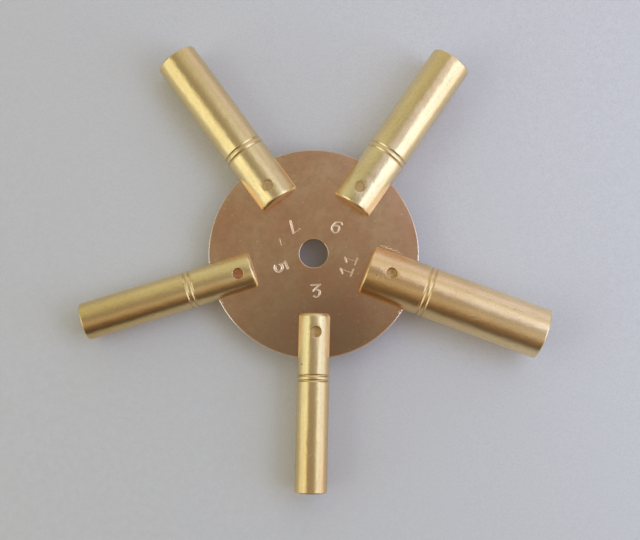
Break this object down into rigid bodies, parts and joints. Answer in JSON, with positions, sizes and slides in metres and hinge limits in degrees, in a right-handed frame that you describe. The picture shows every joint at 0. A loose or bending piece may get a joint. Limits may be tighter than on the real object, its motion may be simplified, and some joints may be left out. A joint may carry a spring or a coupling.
{
  "type": "clock key",
  "caption": "Flat round grip disc with pinned, turned socket rods set like spokes, each with a blind square hole of its own size, for winding clocks by hand.",
  "frame": {"origin": "centre of the disc's middle hole, at the disc's mid-thickness", "axes": "+Z along the axis of the middle hole, out of the face that carries the numerals; +X along the number 11 socket, the largest"},
  "size_m": [0.085, 0.0872, 0.0094],
  "materials": {
    "disc_brass": "dull rolled sheet, toned brown, with fine scratches",
    "rod_brass": "satin turned rod",
    "pin_brass": "dull wire ends"
  },
  "bodies": {
    "root": {"grip_disc": "disc_brass", "socket_3": "rod_brass", "socket_5": "rod_brass", "socket_7": "rod_brass", "socket_9": "rod_brass", "socket_11": "rod_brass", "pin_3": "pin_brass", "pin_5": "pin_brass", "pin_7": "pin_brass", "pin_9": "pin_brass", "pin_11": "pin_brass"}
  },
  "joints": []
}
